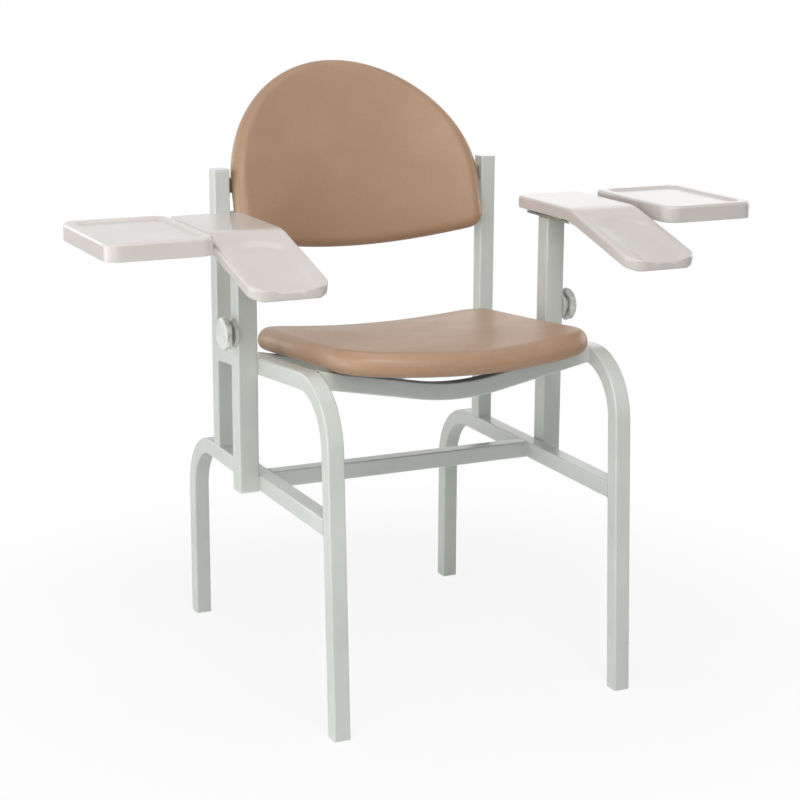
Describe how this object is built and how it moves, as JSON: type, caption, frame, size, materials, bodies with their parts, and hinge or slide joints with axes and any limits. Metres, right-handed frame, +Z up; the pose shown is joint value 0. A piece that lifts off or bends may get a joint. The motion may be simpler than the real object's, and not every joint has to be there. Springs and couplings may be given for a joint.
{
  "type": "phlebotomy chair",
  "caption": "Chair for taking blood samples, bent square tube frame, padded seat and curved back, sloping arm rests with side trays that slide up and down in posts and lock with knobs.",
  "frame": {"origin": "middle of the footprint on the floor", "axes": "+Z up, the chair faces -Y, +X to the sitter's left hand side seen as the viewer's right"},
  "size_m": [0.896, 0.527, 0.7884],
  "materials": {
    "frame_paint": "satin powder coat",
    "zinc_strip": "zinc plated, dull",
    "plated_steel": "zinc plated",
    "upholstery": "tan leatherette with a fine grain",
    "plywood": "moulded plywood, dark stained",
    "spacer_rubber": "matt",
    "light_plastic": "satin",
    "knob_plastic": "satin",
    "pad_plastic": "satin, warm light grey",
    "tray_plastic": "satin, warm light grey"
  },
  "bodies": {
    "frame": {"left_front_tube": "frame_paint", "right_front_tube": "frame_paint", "left_rear_tube": "frame_paint", "right_rear_tube": "frame_paint", "left_upright": "frame_paint", "right_upright": "frame_paint", "cross_bar": "frame_paint", "front_seat_bar": "frame_paint", "rear_seat_bar": "frame_paint", "lower_back_strip": "frame_paint", "upper_back_strip": "frame_paint", "left_post": "frame_paint", "right_post": "frame_paint", "left_knob_plate": "frame_paint", "right_knob_plate": "frame_paint", "front_feet": "light_plastic", "rear_feet": "light_plastic", "upright_caps": "light_plastic", "post_plugs": "light_plastic", "seat_board": "plywood", "seat_cushion": "upholstery", "seat_spacers": "spacer_rubber", "seat_bolts": "plated_steel", "back_board": "plywood", "back_cushion": "upholstery", "back_spacers": "spacer_rubber", "back_bolts": "plated_steel"},
    "left_arm": {"left_slide_tube": "frame_paint", "left_arm_strip": "zinc_strip", "left_tray_strip": "zinc_strip", "left_pad_spacers": "spacer_rubber", "left_pad": "pad_plastic", "left_tray": "tray_plastic", "left_arm_screws": "plated_steel"},
    "right_arm": {"right_slide_tube": "frame_paint", "right_arm_strip": "zinc_strip", "right_tray_strip": "zinc_strip", "right_pad_spacers": "spacer_rubber", "right_pad": "pad_plastic", "right_tray": "tray_plastic", "right_arm_screws": "plated_steel"},
    "left_clamp": {"left_knob": "knob_plastic", "left_stud": "plated_steel"},
    "right_clamp": {"right_knob": "knob_plastic", "right_stud": "plated_steel"}
  },
  "joints": [
    {"name": "left_arm_slide", "type": "slide", "parent": "frame", "child": "left_arm", "axis": [0, 0, 1], "range_m": [0, 0.13]},
    {"name": "right_arm_slide", "type": "slide", "parent": "frame", "child": "right_arm", "axis": [0, 0, 1], "range_m": [0, 0.13]},
    {"name": "left_knob_turn", "type": "hinge", "parent": "frame", "child": "left_clamp", "pos_m": [-0.2414, -0.005, 0.4645], "axis": [-1, 0, 0], "range_deg": [0, 540]},
    {"name": "right_knob_turn", "type": "hinge", "parent": "frame", "child": "right_clamp", "pos_m": [0.2414, -0.005, 0.4645], "axis": [1, 0, 0], "range_deg": [0, 540]}
  ]
}
